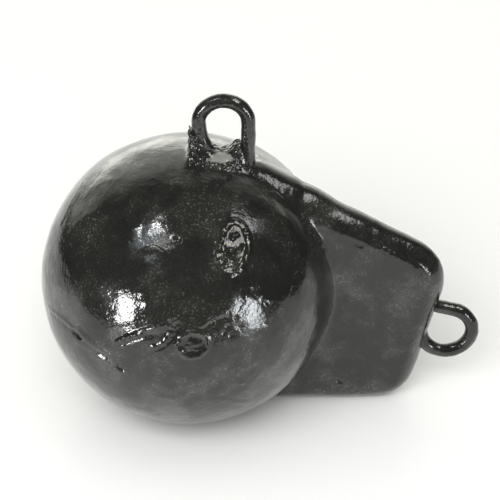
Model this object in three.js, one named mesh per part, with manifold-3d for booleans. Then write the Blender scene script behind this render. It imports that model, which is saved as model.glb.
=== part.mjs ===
// A downrigger weight: a lead ball cast in one pour with a thick tail fin, two bent wire eyes set
// in the lead, and a dipped vinyl coat over the whole of it. Millimetres, +Z up.
// It lies as it does on a table, on the ball's small flat and on the fin's lower edge. The tail
// points along +X, and the fin stands in the XZ plane through the ball's centre.

import * as THREE from "three";
import { mergeVertices } from "three/addons/utils/BufferGeometryUtils.js";
import Module from "manifold-3d";

// Ball, measured over its coat
const ballRadius = 43;
const ballFlatRadius = 8;

// Fin, measured over its coat, from the ball's centre along the fin's axis
const finLength = 73;
const finRootMargin = 1;
const finTaperDeg = 14.6;
const finRootThickness = 13.1;
const finTailThickness = 10.9;
const finEdgeRounding = 4.8;
const upperCornerRadius = 15.6;
const lowerCornerRadius = 10.8;

// Dipped coat, and the gap that keeps it apart from the lead
const coatThickness = 1.2;
const coatGap = 0.3;

// Wire of both eyes, its coat, and the room that the lead leaves round it
const wireRadius = 1.6;
const wireCoatThickness = 0.3;
const wireCoatGap = 0.15;
const wireClearance = 0.3;

// Top eye: its loop's centre along from the ball's centre and above the ball's top
const topEyeAlong = 10.8;
const topEyeRise = 10.9;
const topLoopRadius = 7;
const topCurlRadius = 18.5;
const topCurlTurnDeg = 38;
const topShankDepth = 34;
const topCurlBury = 7;

// Tail eye: its loop's centre past the fin's end and above the fin's axis
const tailEyeReach = 6.1;
const tailEyeAbove = 1.1;
const tailLoopRadius = 7.7;
const tailCurlRadius = 7.3;
const tailCurlTurnDeg = 60;
const tailShankDepth = 30;
const tailCurlBury = 7;

// Hooked end of each shank, which locks it in the lead
const hookRadius = 3;
const hookLength = 4;

// Cast foot that the top eye's legs stand in, from the eye's middle
const footHalfDepth = 4.3;
const footEdgeRounding = 1.2;
const footCurlSide = 9.2;
const footCurlWidth = 5.3;
const footCurlShoulder = 6.4;
const footShankSide = 9.8;
const footShankWidth = 5.5;
const footShankShoulder = 2.0;
const footSaddle = 1.2;
const footSink = 8;

// Round gate mark on the ball's side, with its direction from the ball's centre
const gateRadius = 4.9;
const gateRim = 1.7;
const gateRise = 0.8;
const gateSink = 3;
const gateAzimuthDeg = 3.2;
const gateElevationDeg = 9.4;

// Fineness
const ballSegments = 48;
const ballArcSteps = 20;
const gateSegments = 20;
const wireSides = 10;
const wireStep = 1.9;
const cornerSegments = 6;
const edgeSegments = 3;

const finTaper = THREE.MathUtils.degToRad(finTaperDeg);
// Height of the ball's centre over its flat; the fin's long edges keep the same distance from it
const restHeight = Math.sqrt(ballRadius ** 2 - ballFlatRadius ** 2);

const wasm = await Module();
wasm.setup();

// A closed geometry as a solid.
function solidFrom(geometry) {
  const bare = geometry.clone();
  bare.deleteAttribute("normal");
  bare.deleteAttribute("uv");
  const merged = mergeVertices(bare, 1e-3);
  const vertProperties = new Float32Array(merged.attributes.position.array);
  const triVerts = new Uint32Array(merged.index.array);
  return new wasm.Manifold(new wasm.Mesh({ numProp: 3, vertProperties, triVerts }));
}

// A solid as a named mesh.
function meshFrom(name, solid, material) {
  const raw = solid.getMesh();
  const geometry = new THREE.BufferGeometry();
  geometry.setAttribute("position", new THREE.BufferAttribute(raw.vertProperties, 3));
  geometry.setIndex(new THREE.BufferAttribute(raw.triVerts, 1));
  geometry.computeVertexNormals();
  const mesh = new THREE.Mesh(geometry, material);
  mesh.name = name;
  return mesh;
}

// A point in the fin's own frame, along its axis and above it, as a point of the weight.
function onFin(along, above) {
  const x = along * Math.cos(finTaper) + above * Math.sin(finTaper);
  const z = above * Math.cos(finTaper) - along * Math.sin(finTaper);
  return new THREE.Vector3(x, 0, z);
}

// The ball, with its flat at the bottom.
function ballSolid(inset) {
  const radius = ballRadius - inset;
  const flatHeight = restHeight - inset;
  const flatRadius = Math.sqrt(radius ** 2 - flatHeight ** 2);
  const start = -Math.asin(flatHeight / radius);
  const profile = [new THREE.Vector2(0, -flatHeight), new THREE.Vector2(flatRadius, -flatHeight)];
  for (let i = 1; i < ballArcSteps; i++) {
    const angle = THREE.MathUtils.lerp(start, Math.PI / 2, i / ballArcSteps);
    profile.push(new THREE.Vector2(radius * Math.cos(angle), radius * Math.sin(angle)));
  }
  profile.push(new THREE.Vector2(0, radius));
  const geometry = new THREE.LatheGeometry(profile, ballSegments);
  geometry.rotateX(Math.PI / 2);
  return solidFrom(geometry);
}

// Points of the rounded corner between two straight edges of an outline that is drawn clockwise.
function cornerPoints(before, corner, after, radius) {
  const toBefore = before.clone().sub(corner).normalize();
  const toAfter = after.clone().sub(corner).normalize();
  const half = Math.acos(toBefore.dot(toAfter)) / 2;
  const inwards = toBefore.clone().add(toAfter).normalize();
  const centre = corner.clone().addScaledVector(inwards, radius / Math.sin(half));
  const turn = Math.PI - 2 * half;
  const start = inwards.negate().angle() + turn / 2;
  const points = [];
  for (let i = 0; i <= cornerSegments; i++) {
    const angle = start - (turn * i) / cornerSegments;
    const spoke = new THREE.Vector2(Math.cos(angle), Math.sin(angle));
    points.push(centre.clone().addScaledVector(spoke, radius));
  }
  return points;
}

// The fin's side outline in its own frame. Both long edges start as far from where they would
// touch the ball as the flat reaches, and a little more.
function finShape(inset) {
  const reach = restHeight - inset;
  const start = ballFlatRadius + finRootMargin;
  const end = finLength - inset;
  const endHalf = (reach - end * Math.sin(finTaper)) / Math.cos(finTaper);
  const upperRoot = new THREE.Vector2(
    reach * Math.sin(finTaper) + start * Math.cos(finTaper),
    reach * Math.cos(finTaper) - start * Math.sin(finTaper),
  );
  const lowerRoot = new THREE.Vector2(upperRoot.x, -upperRoot.y);
  const upperEnd = new THREE.Vector2(end, endHalf);
  const lowerEnd = new THREE.Vector2(end, -endHalf);
  return new THREE.Shape([
    upperRoot,
    ...cornerPoints(upperRoot, upperEnd, lowerEnd, upperCornerRadius - inset),
    ...cornerPoints(upperEnd, lowerEnd, lowerRoot, lowerCornerRadius - inset),
    lowerRoot,
  ]);
}

// The fin thins from where it leaves the ball to its end.
function finThickness(along, inset) {
  const share = (along - ballRadius) / (finLength - ballRadius);
  return THREE.MathUtils.lerp(finRootThickness, finTailThickness, share) - 2 * inset;
}

function finSolid(inset) {
  const rounding = finEdgeRounding - inset;
  const thickness = finRootThickness - 2 * inset;
  const geometry = new THREE.ExtrudeGeometry(finShape(inset), {
    depth: thickness - 2 * rounding,
    bevelThickness: rounding,
    bevelSize: rounding,
    bevelOffset: -rounding,
    bevelSegments: edgeSegments,
  });
  geometry.translate(0, 0, rounding - thickness / 2);
  geometry.rotateX(Math.PI / 2);
  const points = geometry.attributes.position;
  for (let i = 0; i < points.count; i++) {
    points.setY(i, (points.getY(i) * finThickness(points.getX(i), inset)) / thickness);
  }
  geometry.rotateY(finTaper);
  return solidFrom(geometry);
}

// The foot round the top eye's legs: high round the curled leg, low between the legs.
function footSolid(inset) {
  const surface = (along) => Math.sqrt(ballRadius ** 2 - (topEyeAlong + along) ** 2);
  const curlTop = surface(-footCurlSide) + footCurlShoulder;
  const saddle = surface(0) + footSaddle;
  const shankTop = surface(footShankSide) + footShankShoulder;
  const base = surface(0) - footSink;
  const outline = [
    [-footCurlSide, base],
    [-footCurlSide, curlTop],
    [footCurlWidth - footCurlSide, curlTop],
    [0, saddle],
    [footShankSide - footShankWidth, shankTop],
    [footShankSide, shankTop],
    [footShankSide, base],
  ];
  const shape = new THREE.Shape(outline.map(([x, z]) => new THREE.Vector2(topEyeAlong + x, z)));
  const geometry = new THREE.ExtrudeGeometry(shape, {
    depth: 2 * (footHalfDepth - inset - footEdgeRounding),
    bevelThickness: footEdgeRounding,
    bevelSize: footEdgeRounding,
    bevelOffset: -footEdgeRounding - inset,
    bevelSegments: edgeSegments,
  });
  geometry.translate(0, 0, inset + footEdgeRounding - footHalfDepth);
  geometry.rotateX(Math.PI / 2);
  return solidFrom(geometry);
}

// The gate mark: a low round rim standing out of the ball's side.
function gateSolid(inset) {
  const outer = gateRadius - inset;
  const inner = gateRadius - gateRim + inset;
  const crest = (outer + inner) / 2;
  const top = ballRadius + gateRise - inset;
  const floor = ballRadius - inset;
  const profile = [
    [0, ballRadius - gateSink],
    [outer, ballRadius - gateSink],
    [outer, floor],
    [crest, top],
    [inner, floor],
    [0, floor],
  ];
  const points = profile.map(([r, h]) => new THREE.Vector2(r, h));
  const geometry = new THREE.LatheGeometry(points, gateSegments);
  geometry.rotateX(THREE.MathUtils.degToRad(180 - gateElevationDeg));
  geometry.rotateZ(THREE.MathUtils.degToRad(gateAzimuthDeg));
  return solidFrom(geometry);
}

// The ball with its foot and gate mark, its surface drawn in by the inset.
function ballWithMarks(inset) {
  return ballSolid(inset).add(footSolid(inset)).add(gateSolid(inset));
}

// The whole body, its surface drawn in by the inset.
function bodySolid(inset) {
  return ballWithMarks(inset).add(finSolid(inset));
}

// Points of an arc in an eye's own plane, sideways and outwards from its loop's centre.
function arcPoints(centre, radius, fromDeg, toDeg) {
  const turn = THREE.MathUtils.degToRad(toDeg - fromDeg);
  const steps = Math.max(2, Math.ceil((Math.abs(turn) * radius) / wireStep));
  const points = [];
  for (let i = 0; i <= steps; i++) {
    const angle = THREE.MathUtils.degToRad(fromDeg) + (turn * i) / steps;
    points.push([centre[0] + radius * Math.cos(angle), centre[1] + radius * Math.sin(angle)]);
  }
  return points;
}

// The wire's centre line: hooked end, straight shank, loop, curled leg and its buried end.
// The room cut for the wire is longer than the wire at both ends.
function eyeCurve(eye, longer) {
  const radius = eye.loopRadius;
  const bendDepth = eye.shankDepth - hookRadius;
  const turn = THREE.MathUtils.degToRad(eye.curlTurnDeg);
  const leave = [
    -radius + eye.curlRadius * (1 - Math.cos(turn)),
    -eye.curlRadius * Math.sin(turn),
  ];
  const bury = eye.curlBury + longer;
  const path = [
    [radius + hookRadius + hookLength + longer, -eye.shankDepth],
    ...arcPoints([radius + hookRadius, -bendDepth], hookRadius, 270, 180),
    [radius, -bendDepth / 2],
    ...arcPoints([0, 0], radius, 0, 180),
    ...arcPoints([-radius + eye.curlRadius, 0], eye.curlRadius, 180, 180 + eye.curlTurnDeg).slice(1),
    [leave[0] + bury * Math.sin(turn), leave[1] - bury * Math.cos(turn)],
  ];
  const points = path.map(([sideways, outwards]) => eye.place(sideways, outwards));
  return new THREE.CatmullRomCurve3(points, false, "centripetal");
}

const topEye = {
  loopRadius: topLoopRadius,
  curlRadius: topCurlRadius,
  curlTurnDeg: topCurlTurnDeg,
  curlBury: topCurlBury,
  shankDepth: topShankDepth,
  place: (sideways, outwards) =>
    new THREE.Vector3(topEyeAlong + sideways, 0, ballRadius + topEyeRise + outwards),
};

const tailEye = {
  loopRadius: tailLoopRadius,
  curlRadius: tailCurlRadius,
  curlTurnDeg: tailCurlTurnDeg,
  curlBury: tailCurlBury,
  shankDepth: tailShankDepth,
  place: (sideways, outwards) => onFin(finLength + tailEyeReach + outwards, tailEyeAbove + sideways),
};

// Corners of a round section.
function ring(radius) {
  const corners = [];
  for (let i = 0; i < wireSides; i++) {
    const angle = (2 * Math.PI * i) / wireSides;
    corners.push(new THREE.Vector2(radius * Math.cos(angle), radius * Math.sin(angle)));
  }
  return corners;
}

// A round bar along an eye's centre line, or a tube where a bore is given.
function barSolid(eye, radius, bore = 0, longer = 0) {
  const curve = eyeCurve(eye, longer);
  const shape = new THREE.Shape(ring(radius));
  if (bore > 0) {
    shape.holes.push(new THREE.Path(ring(bore).reverse()));
  }
  const steps = Math.ceil(curve.getLength() / wireStep);
  return solidFrom(new THREE.ExtrudeGeometry(shape, { extrudePath: curve, steps }));
}

const lead = new THREE.MeshStandardMaterial({ color: 0x6d7076, roughness: 0.55, metalness: 0.9 });
const steel = new THREE.MeshStandardMaterial({ color: 0xb9bbb8, roughness: 0.3, metalness: 1 });
const vinyl = new THREE.MeshStandardMaterial({ color: 0x0b0b0c, roughness: 0.15, metalness: 0 });

const eyes = [topEye, tailEye];

// Room for both wires, all the way through coat and lead.
function cutForWires(solid) {
  return eyes.reduce(
    (rest, eye) => rest.subtract(barSolid(eye, wireRadius + wireClearance, 0, wireClearance)),
    solid,
  );
}

// The coat over an eye's wire, from where the wire leaves the body to where it goes back in.
function sleeveSolid(eye) {
  const bore = wireRadius + wireCoatGap;
  const tube = barSolid(eye, bore + wireCoatThickness, bore);
  return tube.subtract(bodySolid(-coatGap));
}

// The fin's coat starts clear of the ball's, outside all of its marks.
function finCoatSolid() {
  const shell = finSolid(0).subtract(finSolid(coatThickness));
  return shell.subtract(ballWithMarks(-coatGap));
}

const casting = cutForWires(bodySolid(coatThickness + coatGap));
const ballCoat = cutForWires(ballWithMarks(0).subtract(bodySolid(coatThickness)));
const finCoat = cutForWires(finCoatSolid());

const weight = new THREE.Group();
weight.add(
  meshFrom("lead_casting", casting, lead),
  meshFrom("ball_coat", ballCoat, vinyl),
  meshFrom("fin_coat", finCoat, vinyl),
  meshFrom("top_eye_wire", barSolid(topEye, wireRadius), steel),
  meshFrom("tail_eye_wire", barSolid(tailEye, wireRadius), steel),
  meshFrom("top_eye_coat", sleeveSolid(topEye), vinyl),
  meshFrom("tail_eye_coat", sleeveSolid(tailEye), vinyl),
);

// The origin is in the fin's plane, under the middle of the weight's length, on the surface that
// the weight lies on.
const box = new THREE.Box3().setFromObject(weight);
weight.position.set(-(box.min.x + box.max.x) / 2, 0, -box.min.z);

export default weight;
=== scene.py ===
import math

import bpy
import numpy as np
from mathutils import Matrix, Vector, noise


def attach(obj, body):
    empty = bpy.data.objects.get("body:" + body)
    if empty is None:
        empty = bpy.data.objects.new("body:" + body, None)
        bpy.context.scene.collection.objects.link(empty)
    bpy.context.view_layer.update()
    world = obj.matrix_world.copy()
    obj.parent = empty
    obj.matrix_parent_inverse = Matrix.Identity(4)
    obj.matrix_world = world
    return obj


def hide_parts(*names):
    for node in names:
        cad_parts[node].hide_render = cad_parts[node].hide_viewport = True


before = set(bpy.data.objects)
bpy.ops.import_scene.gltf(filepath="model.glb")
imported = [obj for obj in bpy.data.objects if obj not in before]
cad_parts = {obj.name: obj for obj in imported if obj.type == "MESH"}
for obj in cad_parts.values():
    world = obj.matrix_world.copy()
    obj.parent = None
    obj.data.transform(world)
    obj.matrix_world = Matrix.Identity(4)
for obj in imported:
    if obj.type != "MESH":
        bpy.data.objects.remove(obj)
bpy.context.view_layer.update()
bpy.ops.object.select_all(action="DESELECT")


# The lead casting: ball, fin and foot poured in one go in a two-part mould. It is soft grey lead,
# dull from the air, and the dipped coat covers all of it.
class Socket:
    """A shader socket. Sums and products of it are Math nodes."""

    def __init__(self, finish, socket):
        self.finish = finish
        self.socket = socket

    def math(self, operation, first, second):
        return self.finish.node("ShaderNodeMath", {0: first, 1: second}, operation=operation)

    def __add__(self, other):
        return self.math("ADD", self, other)

    def __sub__(self, other):
        return self.math("SUBTRACT", self, other)

    def __mul__(self, other):
        return self.math("MULTIPLY", self, other)

    def __radd__(self, other):
        return self.math("ADD", other, self)

    def __rmul__(self, other):
        return self.math("MULTIPLY", other, self)


class Finish:
    """The nodes of one material, or of the room's light."""

    def __init__(self, owner, surface="Principled BSDF"):
        owner.use_nodes = True
        self.owner = owner
        self.nodes = owner.node_tree.nodes
        self.links = owner.node_tree.links
        self.shader = self.nodes[surface]

    def node(self, kind, sockets=None, output=0, **settings):
        made = self.nodes.new(kind)
        for place, colour in settings.pop("stops", ()):
            # A new ramp has one stop at each end, and they are moved to the places given.
            stop = made.color_ramp.elements[0 if place < 0.5 else 1]
            stop.position = place
            stop.color = colour
        for name, value in settings.items():
            setattr(made, name, value)
        self.fill(made, sockets or {})
        return Socket(self, made.outputs[output])

    def fill(self, made, sockets):
        for name, value in sockets.items():
            if isinstance(value, Socket):
                self.links.new(value.socket, made.inputs[name])
            else:
                made.inputs[name].default_value = value

    def place(self):
        return self.node("ShaderNodeTexCoord", output="Object")

    def cover(self, piece):
        piece.data.materials.clear()
        piece.data.materials.append(self.owner)


lead = Finish(bpy.data.materials.new("dull_lead"))
lead_grain = lead.node(
    "ShaderNodeTexNoise", {"Vector": lead.place(), "Scale": 260.0, "Detail": 5.0}
)
lead_tone = lead.node(
    "ShaderNodeValToRGB",
    {"Fac": lead_grain},
    stops=[(0.3, (0.12, 0.125, 0.135, 1)), (0.7, (0.22, 0.225, 0.235, 1))],
)
lead_rough = 0.3 + 0.4 * lead_grain
lead.fill(lead.shader, {"Base Color": lead_tone, "Metallic": 0.9, "Roughness": lead_rough})
lead.cover(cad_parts["lead_casting"])


# The two eyes' wire: drawn stainless wire bent cold round a pin, its hooked ends cast in the lead.
# The coat covers it, and it would show only where the loops wear through.
steel = Finish(bpy.data.materials.new("drawn_steel"))
steel_streaks = steel.node(
    "ShaderNodeTexNoise", {"Vector": steel.place(), "Scale": 900.0, "Detail": 3.0}
)
steel_colour = (0.5, 0.5, 0.47, 1)
steel.fill(
    steel.shader,
    {"Base Color": steel_colour, "Metallic": 1.0, "Roughness": 0.2 + 0.25 * steel_streaks},
)
for name in ("top_eye_wire", "tail_eye_wire"):
    steel.cover(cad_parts[name])


# The body's coat: black vinyl left on the whole casting by one hot dip. It is glossy, and it
# softens every corner and shows each lump, wrinkle, seam and pinhole of the lead under it.
ball_centre = Vector((-0.021682, 0, 0.042249))
ball_radius = 0.043
bpy.ops.mesh.primitive_uv_sphere_add(
    segments=160, ring_count=80, radius=ball_radius, location=ball_centre
)
coat = bpy.context.object
coat.name = "dipped_coat"
bpy.ops.object.transform_apply()
bpy.ops.object.mode_set(mode="EDIT")
bpy.ops.mesh.select_all(action="SELECT")
bpy.ops.mesh.bisect(plane_co=(0, 0, 0), plane_no=(0, 0, -1), use_fill=True, clear_outer=True)
bpy.ops.object.mode_set(mode="OBJECT")

# The fin is a tapered plate with rounded edges, whose long sides run off the ball. It is built
# up from outlines that swell from one flat face to its middle and draw in again to the other.
fin_slope = math.radians(14.6)
fin_along = Vector((math.cos(fin_slope), 0, -math.sin(fin_slope)))
fin_above = Vector((math.sin(fin_slope), 0, math.cos(fin_slope)))
fin_reach = 0.0735
fin_rise = 0.0019
fin_starts = 0.004
fin_edge = 0.0058
lower_corner = 0.0108
upper_corner = 0.0156
corner_steps = 9
smoothed_away = 0.00045


def fin_width(along):
    """How thick the fin is at this distance from the ball's centre."""
    thick_at_ball, thinner_by, over = 0.0131, 0.0022, 0.030
    return thick_at_ball - thinner_by * (along - ball_radius) / over


def fin_ring(inset, depth):
    """The fin's outline drawn in by inset, at a depth of -1 to 1 across its thickness."""
    low, high = ball_centre.z, ball_centre.z + fin_rise
    sunk = fin_starts * math.sin(fin_slope)
    ring = [(fin_starts, -(low - inset - sunk) / math.cos(fin_slope))]
    for side, reach, radius, turns in (
        (-1, low, lower_corner, range(corner_steps, -1, -1)),
        (1, high, upper_corner, range(corner_steps + 1)),
    ):
        middle = fin_reach - radius
        above = side * (reach - radius - middle * math.sin(fin_slope)) / math.cos(fin_slope)
        for turn in turns:
            at = (math.pi / 2 - fin_slope) * turn / corner_steps
            out = radius - inset
            ring.append((middle + out * math.cos(at), above + side * out * math.sin(at)))
    ring.append((fin_starts, (high - inset - sunk) / math.cos(fin_slope)))
    places = []
    for along, above in ring:
        place = ball_centre + fin_along * along + fin_above * above
        place.y = depth * fin_width(along) / 2
        places.append(place)
    return places


# Its edge is a round-shouldered ridge, where the two halves of the mould met.
fin_rings = []
for turn in range(0, 181, 12):
    depth = -math.cos(math.radians(turn))
    crown = 0.75 * (1 - math.sqrt(1 - depth * depth)) + 0.25 * abs(depth)
    fin_rings.append(fin_ring(fin_edge * crown - smoothed_away, depth))
bpy.ops.mesh.primitive_circle_add(vertices=len(fin_rings[0]), radius=1, fill_type="NGON")
fin = bpy.context.object
for vertex, place in zip(fin.data.vertices, fin_rings[0]):
    vertex.co = place
bpy.ops.object.mode_set(mode="EDIT")
bpy.ops.mesh.select_mode(type="VERT")
bpy.ops.mesh.select_all(action="SELECT")
bpy.ops.object.mode_set(mode="OBJECT")
for before, after in zip(fin_rings[:-1], fin_rings[1:]):
    bpy.ops.object.mode_set(mode="EDIT")
    bpy.ops.mesh.extrude_region_move()
    bpy.ops.object.mode_set(mode="OBJECT")
    for vertex in fin.data.vertices:
        if vertex.select:
            apart = [(place - vertex.co).length for place in before]
            vertex.co = after[apart.index(min(apart))]
bpy.ops.object.mode_set(mode="EDIT")
bpy.ops.mesh.select_all(action="SELECT")
bpy.ops.mesh.normals_make_consistent(inside=False)
bpy.ops.object.mode_set(mode="OBJECT")

# The foot under the top eye, where the lead was poured: a rough bank with a web of metal
# between the legs, and a higher rough part that the legs stand in.
top_eye_middle = Vector((-0.010882, 0, 0.096149))
foot_back = 0.0034
bank = (
    (-0.0206, 0.0760), (-0.0208, 0.0878), (-0.0184, 0.0878), (-0.0162, 0.0868),
    (-0.0146, 0.0864), (-0.0130, 0.0862), (-0.0118, 0.0861), (-0.0108, 0.0860),
    (-0.0098, 0.0854), (-0.0090, 0.0846), (-0.0085, 0.0834), (-0.0082, 0.0760),
)
high_part = (
    (-0.0206, 0.0760), (-0.0208, 0.0936), (-0.0180, 0.0926), (-0.0158, 0.0902),
    (-0.0142, 0.0878), (-0.0124, 0.0864), (-0.0102, 0.0864), (-0.0086, 0.0880),
    (-0.0066, 0.0900), (-0.0052, 0.0882), (-0.0040, 0.0856), (-0.0032, 0.0760),
)
foot_parts = []
for foot_front, outline in ((-0.0049, bank), (-0.0031, high_part)):
    bpy.ops.mesh.primitive_circle_add(vertices=len(outline), radius=1, fill_type="NGON")
    foot = bpy.context.object
    for vertex, (across, up) in zip(foot.data.vertices, outline):
        vertex.co = (across, foot_front, up)
    bpy.ops.object.mode_set(mode="EDIT")
    bpy.ops.mesh.select_all(action="SELECT")
    bpy.ops.mesh.extrude_region_move(
        TRANSFORM_OT_translate={"value": (0, foot_back - foot_front, 0)}
    )
    bpy.ops.mesh.select_all(action="SELECT")
    bpy.ops.mesh.normals_make_consistent(inside=False)
    bpy.ops.object.mode_set(mode="OBJECT")
    foot_parts.append(foot)

bpy.ops.object.select_all(action="DESELECT")
for part in (coat, fin, *foot_parts):
    part.select_set(True)
bpy.context.view_layer.objects.active = coat
bpy.ops.object.join()


def modify(piece, kind, **settings):
    """Add a modifier with these settings and apply it."""
    made = piece.modifiers.new(kind.lower(), kind)
    for name, value in settings.items():
        setattr(made, name, value)
    bpy.ops.object.modifier_apply(modifier=made.name)


def clouds(name, grain, depth=2):
    """A soft lumpy pattern for Displace."""
    texture = bpy.data.textures.new(name, "CLOUDS")
    texture.noise_scale = grain
    texture.noise_depth = depth
    return texture


modify(coat, "REMESH", mode="VOXEL", voxel_size=0.00104)
modify(coat, "SMOOTH", factor=0.5, iterations=7)
modify(coat, "DISPLACE", texture=clouds("lumps", 0.016), strength=0.0007)


# Marks on the ball lie by azimuth from its front and by height, in degrees. Marks on the fin
# lie by millimetres along it and above its middle.
def on_ball(places):
    made = []
    for azimuth, height in places:
        turn, lift = math.radians(azimuth), math.radians(height)
        level = math.cos(lift)
        outwards = Vector((level * math.sin(turn), -level * math.cos(turn), math.sin(lift)))
        made.append(ball_centre + ball_radius * outwards)
    return made


def on_fin(places):
    made = []
    for along, above in places:
        place = ball_centre + fin_along * along * 0.001 + fin_above * above * 0.001
        place.y = -fin_width(along * 0.001) / 2
        made.append(place)
    return made


def points_of(piece):
    places = np.empty(len(piece.data.vertices) * 3)
    piece.data.vertices.foreach_get("co", places)
    return places.reshape(-1, 3)


def away_from(places, path, closed=False):
    """For each place: how far the path is, how far along it that is, and on which side."""
    path = np.array([tuple(place) for place in path])
    if len(path) == 1:
        apart = np.linalg.norm(places - path[0], axis=1)
        return apart, np.full(len(places), 0.5), np.ones(len(places))
    if closed:
        path = np.vstack([path, path[:1]])
    nearest = np.full(len(places), np.inf)
    along = np.zeros(len(places))
    side = np.ones(len(places))
    lengths = np.linalg.norm(np.diff(path, axis=0), axis=1)
    before = np.concatenate([[0], np.cumsum(lengths)])
    for number, (first, last) in enumerate(zip(path[:-1], path[1:])):
        run = last - first
        share = np.clip(((places - first) @ run) / (run @ run), 0, 1)
        offset = places - (first + share[:, None] * run)
        apart = np.linalg.norm(offset, axis=1)
        better = apart < nearest
        nearest[better] = apart[better]
        along[better] = ((before[number] + share * lengths[number]) / before[-1])[better]
        outwards = first - np.array(ball_centre)
        side[better] = np.sign(offset @ np.cross(run, outwards))[better]
    return nearest, along, side


def finer_near(piece, paths, reach):
    """Cut the skin's faces in four near some paths."""
    mesh = piece.data
    middles = np.empty(len(mesh.polygons) * 3)
    mesh.polygons.foreach_get("center", middles)
    middles = middles.reshape(-1, 3)
    chosen = np.zeros(len(middles), dtype=bool)
    for path in paths:
        chosen |= away_from(middles, path)[0] < reach
    mesh.polygons.foreach_set("select", chosen)
    mesh.vertices.foreach_set("select", np.zeros(len(mesh.vertices), dtype=bool))
    mesh.edges.foreach_set("select", np.zeros(len(mesh.edges), dtype=bool))
    bpy.ops.object.mode_set(mode="EDIT")
    bpy.ops.mesh.select_mode(type="FACE")
    bpy.ops.object.mode_set(mode="OBJECT")
    mesh.polygons.foreach_set("select", chosen)
    bpy.ops.object.mode_set(mode="EDIT")
    bpy.ops.mesh.subdivide(number_cuts=1)
    bpy.ops.mesh.vertices_smooth(factor=0.5, repeat=2)
    bpy.ops.object.mode_set(mode="OBJECT")


folds = [
    on_ball([(-29, 4.2), (-24.5, 8.3), (-18.1, 12.7), (-12.2, 15.7), (-4.8, 18.9), (0.5, 20.6)]),
    on_ball([(-13.9, 7.0), (-9.3, 8.9), (-7.4, 10.6), (-5.1, 14.6), (-4.4, 17.0)]),
    on_ball([(5.6, 16.3), (8.5, 17.9), (10.9, 19.6), (15.9, 21.1), (19.5, 22.2)]),
]
low_wrinkle = on_ball([(10.5, -18.6), (17.4, -21.4), (25.5, -26.8), (29.5, -28.6)])
ledge = on_ball(
    [(-24.5, 42.3), (-19.4, 45.0), (-16.4, 46.0), (-10.5, 44.2), (-5.5, 46.0), (-3.4, 47.4)]
)
crater = on_ball([(-4.1, 49.3)])
gate = on_ball([(3.2, 9.4)])
left_seam = on_ball([(-86, -1.5), (-72.4, -1.1), (-61.6, 1.4), (-54.3, 2.1), (-45, 1.8)])
left_dents = [
    on_ball([(-49.5, 1.9), (-44.3, 1.6), (-42.8, 0.6)]),
    on_ball([(-35.6, -0.9), (-32.9, -2.1), (-29.2, -2.9)]),
    on_ball([(-27.2, -3.8), (-25.2, -5.6), (-23.2, -6.0)]),
]
fin_seam = on_fin(
    [(42.8, -17.6), (45.3, -19.5), (48.5, -20.9), (52.7, -21.5), (58, -23.6), (63.5, -24.6)]
)
fin_lip = on_fin(
    [(31, 37.4), (39.7, 34), (46.5, 31), (53.5, 27.9), (60.7, 24.9), (65.4, 20.6), (67.4, 14)]
)
badge = on_ball([(25.7, 44.8)])
foot_middle = [
    top_eye_middle + Vector((-0.0075, -0.001, -0.0085)),
    top_eye_middle + Vector((0.0052, -0.001, -0.0100)),
]
root_radius = 0.0425
fin_root = []
for turn in range(-70, 71, 10):
    at = math.radians(turn)
    around = fin_along * math.cos(at) + fin_above * math.sin(at)
    root = ball_centre + root_radius * around
    root.y = -0.0070
    fin_root.append(root)

finer_near(coat, folds + left_dents + [left_seam, ledge, fin_lip], 0.0040)
finer_near(coat, [crater, gate, badge, foot_middle, low_wrinkle], 0.0105)
finer_near(coat, [fin_root, fin_seam], 0.0030)
finer_near(coat, folds + left_dents + [ledge], 0.0018)
finer_near(coat, [crater], 0.0035)
finer_near(coat, [gate], 0.0066)
finer_near(coat, [badge], 0.0095)
finer_near(coat, [fin_seam], 0.0016)
finer_near(coat, [foot_middle], 0.0078)

skin = points_of(coat)
rise = np.zeros(len(skin))


def press(height, path, reach, steep=None, closed=False, ragged=0.0):
    """Raise the skin along a path, or sink it. One side may be steeper than the other."""
    apart, along, side = away_from(skin, path, closed)
    width = np.where(side > 0, reach, steep or reach)
    shape = np.clip(1 - (apart / width) ** 2, 0, 1) ** 2
    if len(path) > 1 and not closed:
        shape = shape * np.clip(np.minimum(along, 1 - along) * 6, 0, 1) ** 0.7
    for index in np.nonzero(shape)[0] if ragged else ():
        shape[index] *= 1 - ragged + ragged * 1.6 * noise.noise(Vector(skin[index]) * 700)
    rise[:] += height * shape


# The lead ran cold here and there as it filled the mould, and left folds with a steep lower side.
press(0.00055, folds[0], 0.0030, steep=0.0011, ragged=0.3)
press(-0.00036, on_ball([(-26.6, 4.2), (-22.8, 7.3), (-16.4, 11.1), (-10.2, 13.9)]), 0.0010)
press(0.00045, folds[1], 0.0017, steep=0.0009, ragged=0.4)
press(-0.00022, on_ball([(-12.5, 6.0), (-8.0, 8.2), (-6.0, 10.6), (-3.8, 14.6)]), 0.0009)
press(0.00050, folds[2], 0.0024, steep=0.0009, ragged=0.4)
press(-0.00025, on_ball([(6.5, 15.1), (9.1, 16.6), (11.5, 18.2), (16.4, 19.8)]), 0.0010)
press(0.00016, low_wrinkle, 0.0020, steep=0.0010, ragged=0.4)
press(0.00034, ledge, 0.0020, steep=0.0009, ragged=0.4)
scar = on_ball([(55.8, 28.5), (49.0, 23.1), (45.9, 20.3), (42.0, 18.4)])
press(0.00018, scar, 0.0016, ragged=0.4)

# The ball swells into a shoulder behind the top eye and where the fin's top edge leaves it.
shoulder = [(-0.0035, 0.003, 0.0820), (0.0040, 0.003, 0.0780), (0.0110, 0.003, 0.0730)]
press(0.0010, shoulder, 0.0130)
behind = [(-0.0060, 0.023, 0.0745), (0.0000, 0.021, 0.0730), (0.0107, 0.016, 0.0655)]
press(0.0008, behind, 0.0125)
press(0.0010, [(0.0145, 0.002, 0.0705)], 0.0090)
press(-0.0009, crater, 0.0017)
press(0.0003, crater, 0.0028)

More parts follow.
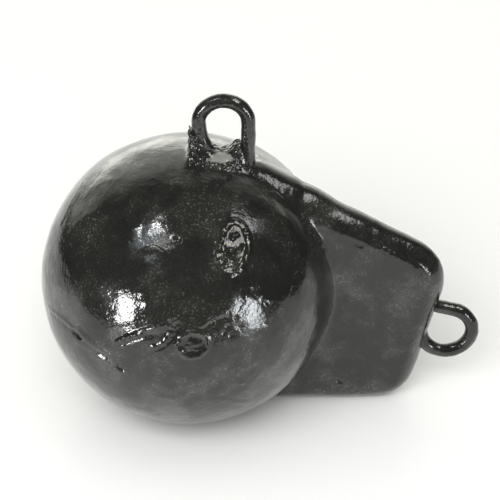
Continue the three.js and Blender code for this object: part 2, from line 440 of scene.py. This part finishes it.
# The stub of the pouring gate, broken off: a low ring with a lump in it.
ring = []
for turn in range(0, 360, 20):
    at = math.radians(turn)
    wobble = 1 + 0.05 * math.sin(2 * at + 0.6)
    ring.append((3.2 + 5.45 * wobble * math.cos(at), 9.4 + 5.35 * wobble * math.sin(at)))
press(0.00062, on_ball(ring), 0.0013, closed=True, ragged=0.3)
press(-0.0002, gate, 0.0034)
press(0.00060, on_ball([(1.2, 10.9), (3.6, 9.6), (5.0, 8.0)]), 0.0017, ragged=0.7)
press(0.00040, on_ball([(1.6, 7.9), (2.4, 9.0)]), 0.0012, ragged=0.7)
press(0.00045, on_ball([(2.6, 12.4), (5.4, 11.4), (6.4, 9.6)]), 0.0009, ragged=0.9)
press(-0.00040, on_ball([(0.6, 9.4), (2.6, 7.6), (4.6, 6.6)]), 0.0009, ragged=0.9)

# A worn raised badge from the mould: an oval rim round three bars, with nothing to read in it.
oval = []
for turn in range(0, 360, 20):
    at = math.radians(turn)
    long, wide = 10.4 * math.cos(at), 6.2 * math.sin(at)
    oval.append((26.6 + (long * 0.55 - wide * 0.83) * 1.33, 44.3 + long * 0.83 + wide * 0.55))
press(0.00050, on_ball(oval), 0.0015, closed=True, ragged=0.35)
press(0.00018, on_ball([(20.6, 39.2), (33.0, 49.4)]), 0.0060, ragged=0.3)
for low in (38.2, 42.6, 47.2):
    bar = on_ball([(low * 0.9 - 16.6, low), (low * 0.9 - 10.2, low + 1.2)])
    press(0.00045, bar, 0.0012, ragged=0.6)

# The mould's seam: a scar on the left of the ball that opens into dents, and a dashed one low
# on the fin.
press(-0.00016, left_seam, 0.0009, ragged=0.5)
press(0.00014, on_ball([(-72.4, 0.2), (-61.6, 2.7), (-54.3, 3.4), (-46, 3.2)]), 0.0012)
press(-0.0006, left_dents[0], 0.0019, steep=0.0012, ragged=0.3)
press(-0.0008, left_dents[1], 0.0016, steep=0.0010, ragged=0.3)
press(-0.0008, left_dents[2], 0.0016, steep=0.0010, ragged=0.3)
press(0.00025, on_ball([(-47, 3.6), (-35, 1.5), (-27, -1.8)]), 0.0018)
press(-0.00045, fin_seam, 0.0009, ragged=0.9)
press(0.00022, on_fin([(43.6, -16.6), (48.5, -19.4), (52.7, -20), (58, -22)]), 0.0014, ragged=0.6)

# Small pits, then pimples where air came up through the dip.
for place in (
    (12.8, 18.2), (15.7, 19.0), (17.0, 15.2), (15.2, 13.1), (17.9, 11.7), (20.6, 18.1),
    (21.4, 14.7),
):
    press(-0.00026, on_ball([place]), 0.0010)
for place in (
    (-17.3, 28.7), (-15.6, 24.8), (-54.9, 49.5), (-33.1, 35.4), (18.7, 3.9), (21.9, 3.1),
    (17.9, -3.4), (19.5, -5.9), (26.7, -8.2), (29.1, -10.8), (22.4, -12.2), (33.5, 5.1),
    (36.8, 6.4), (33.5, 10.7), (26.2, 25.4), (29.9, 28.7), (33.2, 23.4), (36.4, 20.8),
    (40.1, 22.7),
):
    press(0.00030, on_ball([place]), 0.0011)

# Wrinkles in the dip at both sides of the ball, and scratches high on its left.
for path in (
    [(-120, 57), (-108, 56), (-97, 53), (-88, 48)],
    [(-104, 47), (-94, 43.5), (-86, 37), (-81, 29)],
    [(-70, 63), (-82, 57), (-84, 51), (-80, 45)],
    [(-60, 52), (-66, 45), (-69, 38), (-70, 30)],
    [(86.1, 49.8), (84.0, 46.0), (80.5, 43.3)],
    [(76.3, 54.1), (75.1, 49.8), (74.7, 46.0)],
    [(66.1, 49.3), (65.7, 46.4), (64.5, 43.4)],
):
    press(0.00020, on_ball(path), 0.0021, steep=0.0012, ragged=0.4)
press(-0.00016, on_ball([(-35.8, 41.3), (-32.7, 38.5), (-29.9, 35.7)]), 0.0011)
for path in (
    [(-34.5, 49.5), (-31.5, 51.0)], [(-31.0, 50.0), (-28.6, 52.2)],
    [(-38.5, 47.5), (-36.8, 49.0)], [(-52.0, 38.5), (-49.5, 39.8)],
    [(-43.0, 33.0), (-40.8, 25.5)], [(-30.0, 46.5), (-28.8, 47.0)],
):
    press(0.00034, on_ball(path), 0.0009, ragged=0.4)

# The same on the fin, with a lip where the dip ran off its top edge.
for place in (
    (44.3, -14.9), (52.5, -10.9), (52.5, -25.3), (47.4, -2.9), (44.0, -14.8), (68.8, -23.1),
):
    press(0.00030, on_fin([place]), 0.0011)
press(-0.00030, on_fin([(45.2, 9.4), (47.3, 9.5), (49.3, 10.0)]), 0.0012)
press(-0.00030, on_fin([(39.3, 28.9), (41.9, 28.4), (46.2, 28.0)]), 0.0012)
press(0.00022, fin_lip, 0.0016, ragged=0.5)

# The dip bridged the corner between ball and fin, and its edge stands up as a thin bead.
press(0.00045, fin_root, 0.0011, steep=0.0008, ragged=0.15)
beside_root = [place - fin_along * 0.0022 - Vector((0, 0.0004, 0)) for place in fin_root[6:]]
press(0.00040, beside_root, 0.0013, ragged=0.9)


def weigh(piece, name, weights, least):
    """Make a vertex group of the weights that are more than the least."""
    group = piece.vertex_groups.new(name=name)
    for index in np.nonzero(weights > least)[0]:
        group.add([int(index)], float(min(1, weights[index])), "REPLACE")
    return name


highest_mark, least_mark = 0.0024, 1e-6
for name, sign in (("raised", 1), ("sunk", -1)):
    marks = weigh(coat, name, sign * rise / highest_mark, least_mark / highest_mark)
    modify(coat, "DISPLACE", vertex_group=marks, strength=sign * highest_mark, mid_level=0)

# The skin is mottled round the middle and upper left of the ball, and smooth low on it. The
# foot's metal was chilled by the wire and stayed grainy, all but the web between the legs.
web_middle = (-0.0126, -0.0026, 0.0858)
foot_left, foot_right, foot_side = -0.0213, -0.0054, 0.0068
skin = points_of(coat)
from_centre = skin - np.array(ball_centre)
front = np.clip(-from_centre[:, 1] / ball_radius, 0, 1)
mottled = 0.35 + 0.65 * np.clip((from_centre[:, 2] / ball_radius + 0.25) * 1.6, 0, 1) * front
off_ball = np.linalg.norm(from_centre, axis=1) - ball_radius
grainy = np.clip((off_ball - 0.0002) / 0.0005, 0, 1)
grainy *= np.clip((foot_right - skin[:, 0]) / 0.0008, 0, 1)
grainy *= np.clip((skin[:, 0] - foot_left) / 0.0005, 0, 1)
grainy *= np.clip((foot_side - np.abs(skin[:, 1])) / 0.0005, 0, 1)
web = np.hypot((skin[:, 0] - web_middle[0]) / 0.0052, (skin[:, 1] - web_middle[1]) / 0.0024)
grainy *= np.clip((web - 0.85) / 0.3, 0, 1)
for name, weights, grain, depth, strength in (
    ("peel", mottled * (1 - grainy), 0.0032, 2, 0.00016),
    ("grain", grainy, 0.0010, 3, 0.00110),
):
    rough = weigh(coat, name, weights, 0.02)
    texture = clouds(name, grain, depth)
    modify(coat, "DISPLACE", vertex_group=rough, texture=texture, strength=strength)
bpy.ops.object.shade_smooth()

# Nothing of it lies under the table.
skin = points_of(coat)
skin[:, 2] = np.maximum(skin[:, 2], 0)
coat.data.vertices.foreach_set("co", skin.ravel())
coat.data.update()

# The vinyl: dust in patches, an orange peel all over, pimples, and a painted pale highlight on the
# smooth web.
vinyl = Finish(bpy.data.materials.new("dipped_vinyl"))
vinyl_dust = vinyl.node(
    "ShaderNodeTexNoise",
    {"Vector": vinyl.place(), "Scale": 90.0, "Detail": 7.0, "Roughness": 0.65},
)
vinyl_orange_peel = vinyl.node(
    "ShaderNodeTexNoise",
    {"Vector": vinyl.place(), "Scale": 520.0, "Detail": 3.0, "Roughness": 0.6},
)
vinyl_cells = vinyl.node("ShaderNodeTexVoronoi", {"Vector": vinyl.place(), "Scale": 560.0})
vinyl_pimples = vinyl.node(
    "ShaderNodeMapRange",
    {"Value": vinyl_cells, "From Min": 0.05, "From Max": 0.24, "To Min": 1.0, "To Max": 0.0},
    interpolation_type="SMOOTHSTEP",
)
vinyl_patches = vinyl.node(
    "ShaderNodeMapRange",
    {"Value": vinyl_dust, "From Min": 0.46, "From Max": 0.62},
    interpolation_type="SMOOTHSTEP",
)
vinyl_relief = vinyl_orange_peel + (0.25 + 0.75 * vinyl_patches) * (0.35 * vinyl_pimples)
vinyl_bump = vinyl.node(
    "ShaderNodeBump", {"Height": vinyl_relief, "Distance": 0.00013, "Strength": 1.0}
)
vinyl_tone = vinyl.node(
    "ShaderNodeValToRGB",
    {"Fac": vinyl_dust},
    stops=[(0.40, (0.0120, 0.0125, 0.0110, 1)), (0.72, (0.0240, 0.0240, 0.0205, 1))],
)
vinyl_fine = vinyl.node(
    "ShaderNodeTexNoise", {"Vector": vinyl.place(), "Scale": 1500.0, "Detail": 2.0}
)
vinyl_specks = vinyl.node(
    "ShaderNodeMapRange", {"Value": vinyl_fine, "From Min": 0.56, "From Max": 0.74}
)
dust_colour = (0.11, 0.11, 0.10, 1)
vinyl_dusted = vinyl.node(
    "ShaderNodeMix",
    {"Factor": (0.08 + 0.72 * vinyl_patches) * vinyl_specks, "A": vinyl_tone, "B": dust_colour},
    "Result",
    data_type="RGBA",
)
# The pale patch on the web between the top eye's legs is a painted highlight, standing in for the
# light its smooth face catches.
from_web = vinyl.node(
    "ShaderNodeVectorMath", {0: vinyl.place(), 1: web_middle}, operation="SUBTRACT"
)
web_apart = vinyl.node(
    "ShaderNodeVectorMath",
    {0: from_web, 1: (1 / 0.0050, 1 / 0.0022, 1 / 0.0014)},
    operation="MULTIPLY",
)
web_far = vinyl.node("ShaderNodeVectorMath", {0: web_apart}, "Value", operation="LENGTH")
web_painted_highlight = vinyl.node(
    "ShaderNodeMapRange",
    {
        "Value": web_far + vinyl_orange_peel,
        "From Min": 1.35,
        "From Max": 1.55,
        "To Min": 1.0,
        "To Max": 0.0,
    },
)
# The colour of the painted highlight on the web.
painted_highlight_colour = (0.20, 0.205, 0.185, 1)
vinyl_colour = vinyl.node(
    "ShaderNodeMix",
    {"Factor": web_painted_highlight, "A": vinyl_dusted, "B": painted_highlight_colour},
    "Result",
    data_type="RGBA",
)
vinyl.fill(
    vinyl.shader,
    {
        "Base Color": vinyl_colour,
        "Roughness": 0.06 + 0.12 * vinyl_patches,
        "IOR": 1.5,
        "Specular IOR Level": 0.5,
        "Coat Weight": 0.12 + 0.45 * vinyl_patches,
        "Coat Roughness": 0.23,
        "Coat IOR": 1.5,
        "Normal": vinyl_bump,
    },
)
vinyl.cover(coat)
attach(coat, "root")
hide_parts("ball_coat", "fin_coat")


# The eyes' coats: the same dip, thin on the two bent wires. It follows each leg up, round the
# loop and down again, and it is lumpy where it ran and gathered.
def wire_sleeve(name, middle, up, side, straight, loop_radius, curl_radius, curl_turn, bury):
    """Bend a sleeve from the straight leg's foot round the loop, then turn its end aside."""
    sleeve_radius = 0.00205
    axis = up.cross(side)
    bpy.ops.object.select_all(action="DESELECT")
    bpy.ops.mesh.primitive_circle_add(
        vertices=24,
        radius=sleeve_radius,
        location=middle + side * loop_radius - up * straight,
        rotation=up.to_track_quat("Z", "Y").to_euler(),
    )
    sleeve = bpy.context.object
    sleeve.name = name
    bpy.ops.object.transform_apply()
    bpy.ops.object.mode_set(mode="EDIT")
    bpy.ops.mesh.select_mode(type="EDGE")
    bpy.ops.mesh.select_all(action="SELECT")
    bpy.ops.mesh.extrude_region_move(TRANSFORM_OT_translate={"value": up * straight})
    bpy.ops.mesh.spin(steps=28, angle=math.pi, center=middle, axis=axis)
    bend = middle + side * (curl_radius - loop_radius)
    turned = math.radians(curl_turn)
    bpy.ops.mesh.spin(steps=12, angle=turned, center=bend, axis=axis)
    leave = side * math.sin(turned) - up * math.cos(turned)
    bpy.ops.mesh.extrude_region_move(TRANSFORM_OT_translate={"value": leave * bury})
    bpy.ops.mesh.select_all(action="DESELECT")
    bpy.ops.mesh.select_non_manifold()
    bpy.ops.mesh.fill_holes(sides=0)
    bpy.ops.mesh.select_all(action="SELECT")
    bpy.ops.mesh.remove_doubles(threshold=1e-6)
    bpy.ops.mesh.normals_make_consistent(inside=False)
    bpy.ops.object.mode_set(mode="OBJECT")
    modify(sleeve, "REMESH", mode="VOXEL", voxel_size=0.00033)
    modify(sleeve, "SMOOTH", factor=0.5, iterations=4)
    for scale, strength in ((0.0045, 0.00030), (0.0014, 0.00010)):
        modify(sleeve, "DISPLACE", texture=clouds(name, scale), strength=strength, mid_level=0.4)
    bpy.ops.object.shade_smooth()
    vinyl.cover(sleeve)
    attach(sleeve, "root")
    return sleeve


top_sleeve = wire_sleeve(
    "top_eye_sleeve",
    top_eye_middle,
    up=Vector((0, 0, 1)),
    side=Vector((1, 0, 0)),
    straight=0.0155,
    loop_radius=0.0070,
    curl_radius=0.0185,
    curl_turn=34,
    bury=0.0005,
)
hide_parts("top_eye_coat")
tail_eye_middle = Vector((0.05514, 0, 0.023375))
tail_sleeve = wire_sleeve(
    "tail_eye_sleeve",
    tail_eye_middle,
    up=fin_along,
    side=fin_above,
    straight=0.0090,
    loop_radius=0.0077,
    curl_radius=0.0073,
    curl_turn=60,
    bury=0.0030,
)
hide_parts("tail_eye_coat")


# The table: one white sheet under the weight. In the coat's gloss it ends 16 to 30 cm from the
# weight at its front and sides, and the darker room shows past it.
bpy.ops.object.select_all(action="DESELECT")
bpy.ops.mesh.primitive_plane_add(size=1)
table = bpy.context.object
table.name = "table"
table_half, table_back = 3, 1.5
for vertex, (x, y) in zip(
    table.data.vertices,
    (
        (-table_half, -table_half),
        (table_half, -table_half),
        (-table_half, table_back),
        (table_half, table_back),
    ),
):
    vertex.co = (x, y, 0)
white = Finish(bpy.data.materials.new("white_sheet"))
white.fill(white.shader, {"Base Color": (0.93, 0.93, 0.915, 1), "Roughness": 0.34})
across = white.node("ShaderNodeSeparateXYZ", {"Vector": white.place()}, "X")
back = white.node("ShaderNodeSeparateXYZ", {"Vector": white.place()}, "Y")
off_side = white.node("ShaderNodeMath", {0: across - 0.01}, operation="ABSOLUTE") - 0.25 * back
past_side = white.node(
    "ShaderNodeMapRange", {"Value": off_side, "From Min": 0.31, "From Max": 0.36}
)
past_front = white.node(
    "ShaderNodeMapRange", {"Value": back, "From Min": -0.20, "From Max": -0.26}
)
past = white.node("ShaderNodeMath", {0: past_side, 1: past_front}, operation="MAXIMUM")
in_gloss = white.node("ShaderNodeLightPath", output="Is Glossy Ray")
paper = Socket(white, white.shader.outputs["BSDF"])
gone = white.node("ShaderNodeBsdfTransparent")
sheet = white.node("ShaderNodeMixShader", {0: past * in_gloss, 1: paper, 2: gone})
white.fill(white.nodes["Material Output"], {"Surface": sheet})
white.cover(table)


# The wall behind it glows evenly for the camera. In the gloss it has a bright pool low in its
# middle, and falls off upwards and to the sides.
bpy.ops.mesh.primitive_plane_add(size=1)
wall = bpy.context.object
wall.name = "wall"
wall_top = 3.2
for vertex, (x, z) in zip(
    wall.data.vertices,
    ((-table_half, 0), (table_half, 0), (-table_half, wall_top), (table_half, wall_top)),
):
    vertex.co = (x, table_back, z)
glow = Finish(bpy.data.materials.new("lit_wall"))
wide = glow.node("ShaderNodeSeparateXYZ", {"Vector": glow.place()}, "X")
high = glow.node("ShaderNodeSeparateXYZ", {"Vector": glow.place()}, "Z")
from_pool = (wide - 0.05) * (wide - 0.05) * 0.85 + high * high * 2.1
pool = glow.node(
    "ShaderNodeMapRange",
    {"Value": from_pool, "From Min": 0.92, "From Max": 1.08, "To Min": 1.2, "To Max": 0.0},
    interpolation_type="SMOOTHSTEP",
)
pool_side = glow.node(
    "ShaderNodeMapRange",
    {"Value": wide, "From Min": 0.25, "From Max": 0.75, "To Min": 1.0, "To Max": 0.0},
)
falling = glow.node(
    "ShaderNodeMapRange",
    {"Value": high, "From Min": 0.3, "From Max": 3.1, "To Min": 2.05, "To Max": 0.0},
)
off_middle = glow.node("ShaderNodeMath", {0: wide}, operation="ABSOLUTE")
fading = glow.node(
    "ShaderNodeMapRange",
    {"Value": off_middle, "From Min": 0.4, "From Max": 2.8, "To Min": 1.0, "To Max": 0.0},
    interpolation_type="SMOOTHSTEP",
)
mirrored = glow.node("ShaderNodeLightPath", output="Is Glossy Ray")
unmirrored = 0.6
brightness = unmirrored + mirrored * (falling * fading + pool * pool_side - unmirrored)
wall_colour = glow.node(
    "ShaderNodeVectorMath", {0: (1, 1, 0.93), "Scale": brightness}, operation="SCALE"
)
emission = glow.node("ShaderNodeEmission", {"Color": wall_colour, "Strength": 1.0})
glow.fill(glow.nodes["Material Output"], {"Surface": emission})
glow.cover(wall)


# The lamps: windows and ceiling lights that show only as highlights in the gloss, and two soft
# lamps that light the weight and leave no highlight on it. The room adds a faint even light.
def lamp(name, azimuth, elevation, distance, size, radiance, colour=(1, 1, 1)):
    turn, lift = math.radians(azimuth), math.radians(elevation)
    level = math.cos(lift)
    towards = Vector((level * math.sin(turn), level * math.cos(turn), math.sin(lift)))
    data = bpy.data.lights.new(name, "AREA")
    data.shape = "RECTANGLE"
    data.size, data.size_y = size
    data.energy = radiance * math.pi * size[0] * size[1]
    data.color = colour
    light = bpy.data.objects.new(name, data)
    bpy.context.scene.collection.objects.link(light)
    light.location = ball_centre + towards * distance
    light.rotation_euler = towards.to_track_quat("Z", "Y").to_euler()
    light.visible_camera = False
    return light


for light in (
    lamp("left_window", -133, 3, 1.3, (0.22, 0.36), 36),
    lamp("right_window", 133, -6, 1.3, (0.17, 0.56), 20, (0.93, 0.97, 1)),
    lamp("left_top", -125, 63, 1.3, (0.11, 0.13), 50),
    lamp("left_top_panel", -130, 56, 1.33, (0.50, 0.40), 2.2, (0.82, 0.92, 1)),
    lamp("right_top", 104, 50, 1.3, (0.6, 0.33), 6),
    lamp("warm_left", -149, 57, 1.3, (0.08, 0.04), 26, (1, 0.85, 0.6)),
    lamp("warm_right", 126, 47, 1.3, (0.14, 0.12), 22, (1, 0.9, 0.68)),
):
    light.visible_diffuse = False
for light in (
    lamp("soft_above", 180, 72, 1.6, (1.4, 1.4), 0.6),
    lamp("soft_front", -164, 41, 0.9, (0.8, 0.5), 5.9),
):
    light.visible_glossy = False

room = Finish(bpy.data.worlds.new("room"), "Background")
bpy.context.scene.world = room.owner
mirrored_room = room.node("ShaderNodeLightPath", output="Is Glossy Ray")
dim = room.node("ShaderNodeMapRange", {"Value": mirrored_room, "To Min": 0.6, "To Max": 0.02})
seen = room.node("ShaderNodeLightPath", output="Is Camera Ray")
room_light = room.node("ShaderNodeMix", {"Factor": seen, "A": dim, "B": 1.0}, "Result")
room.fill(room.shader, {"Color": (1, 1, 1, 1), "Strength": room_light})


# The camera stands where the photograph was taken from, and looks down on the weight's side
# through a long lens.
camera = bpy.data.objects.new("camera", bpy.data.cameras.new("camera"))
bpy.context.scene.collection.objects.link(camera)
camera.location = (-0.003422, -0.598764, 0.465117)
camera.rotation_euler = (math.radians(55.41), 0, 0)
camera.data.lens = 179.2
bpy.context.scene.camera = camera
bpy.context.scene.view_settings.view_transform = "Standard"
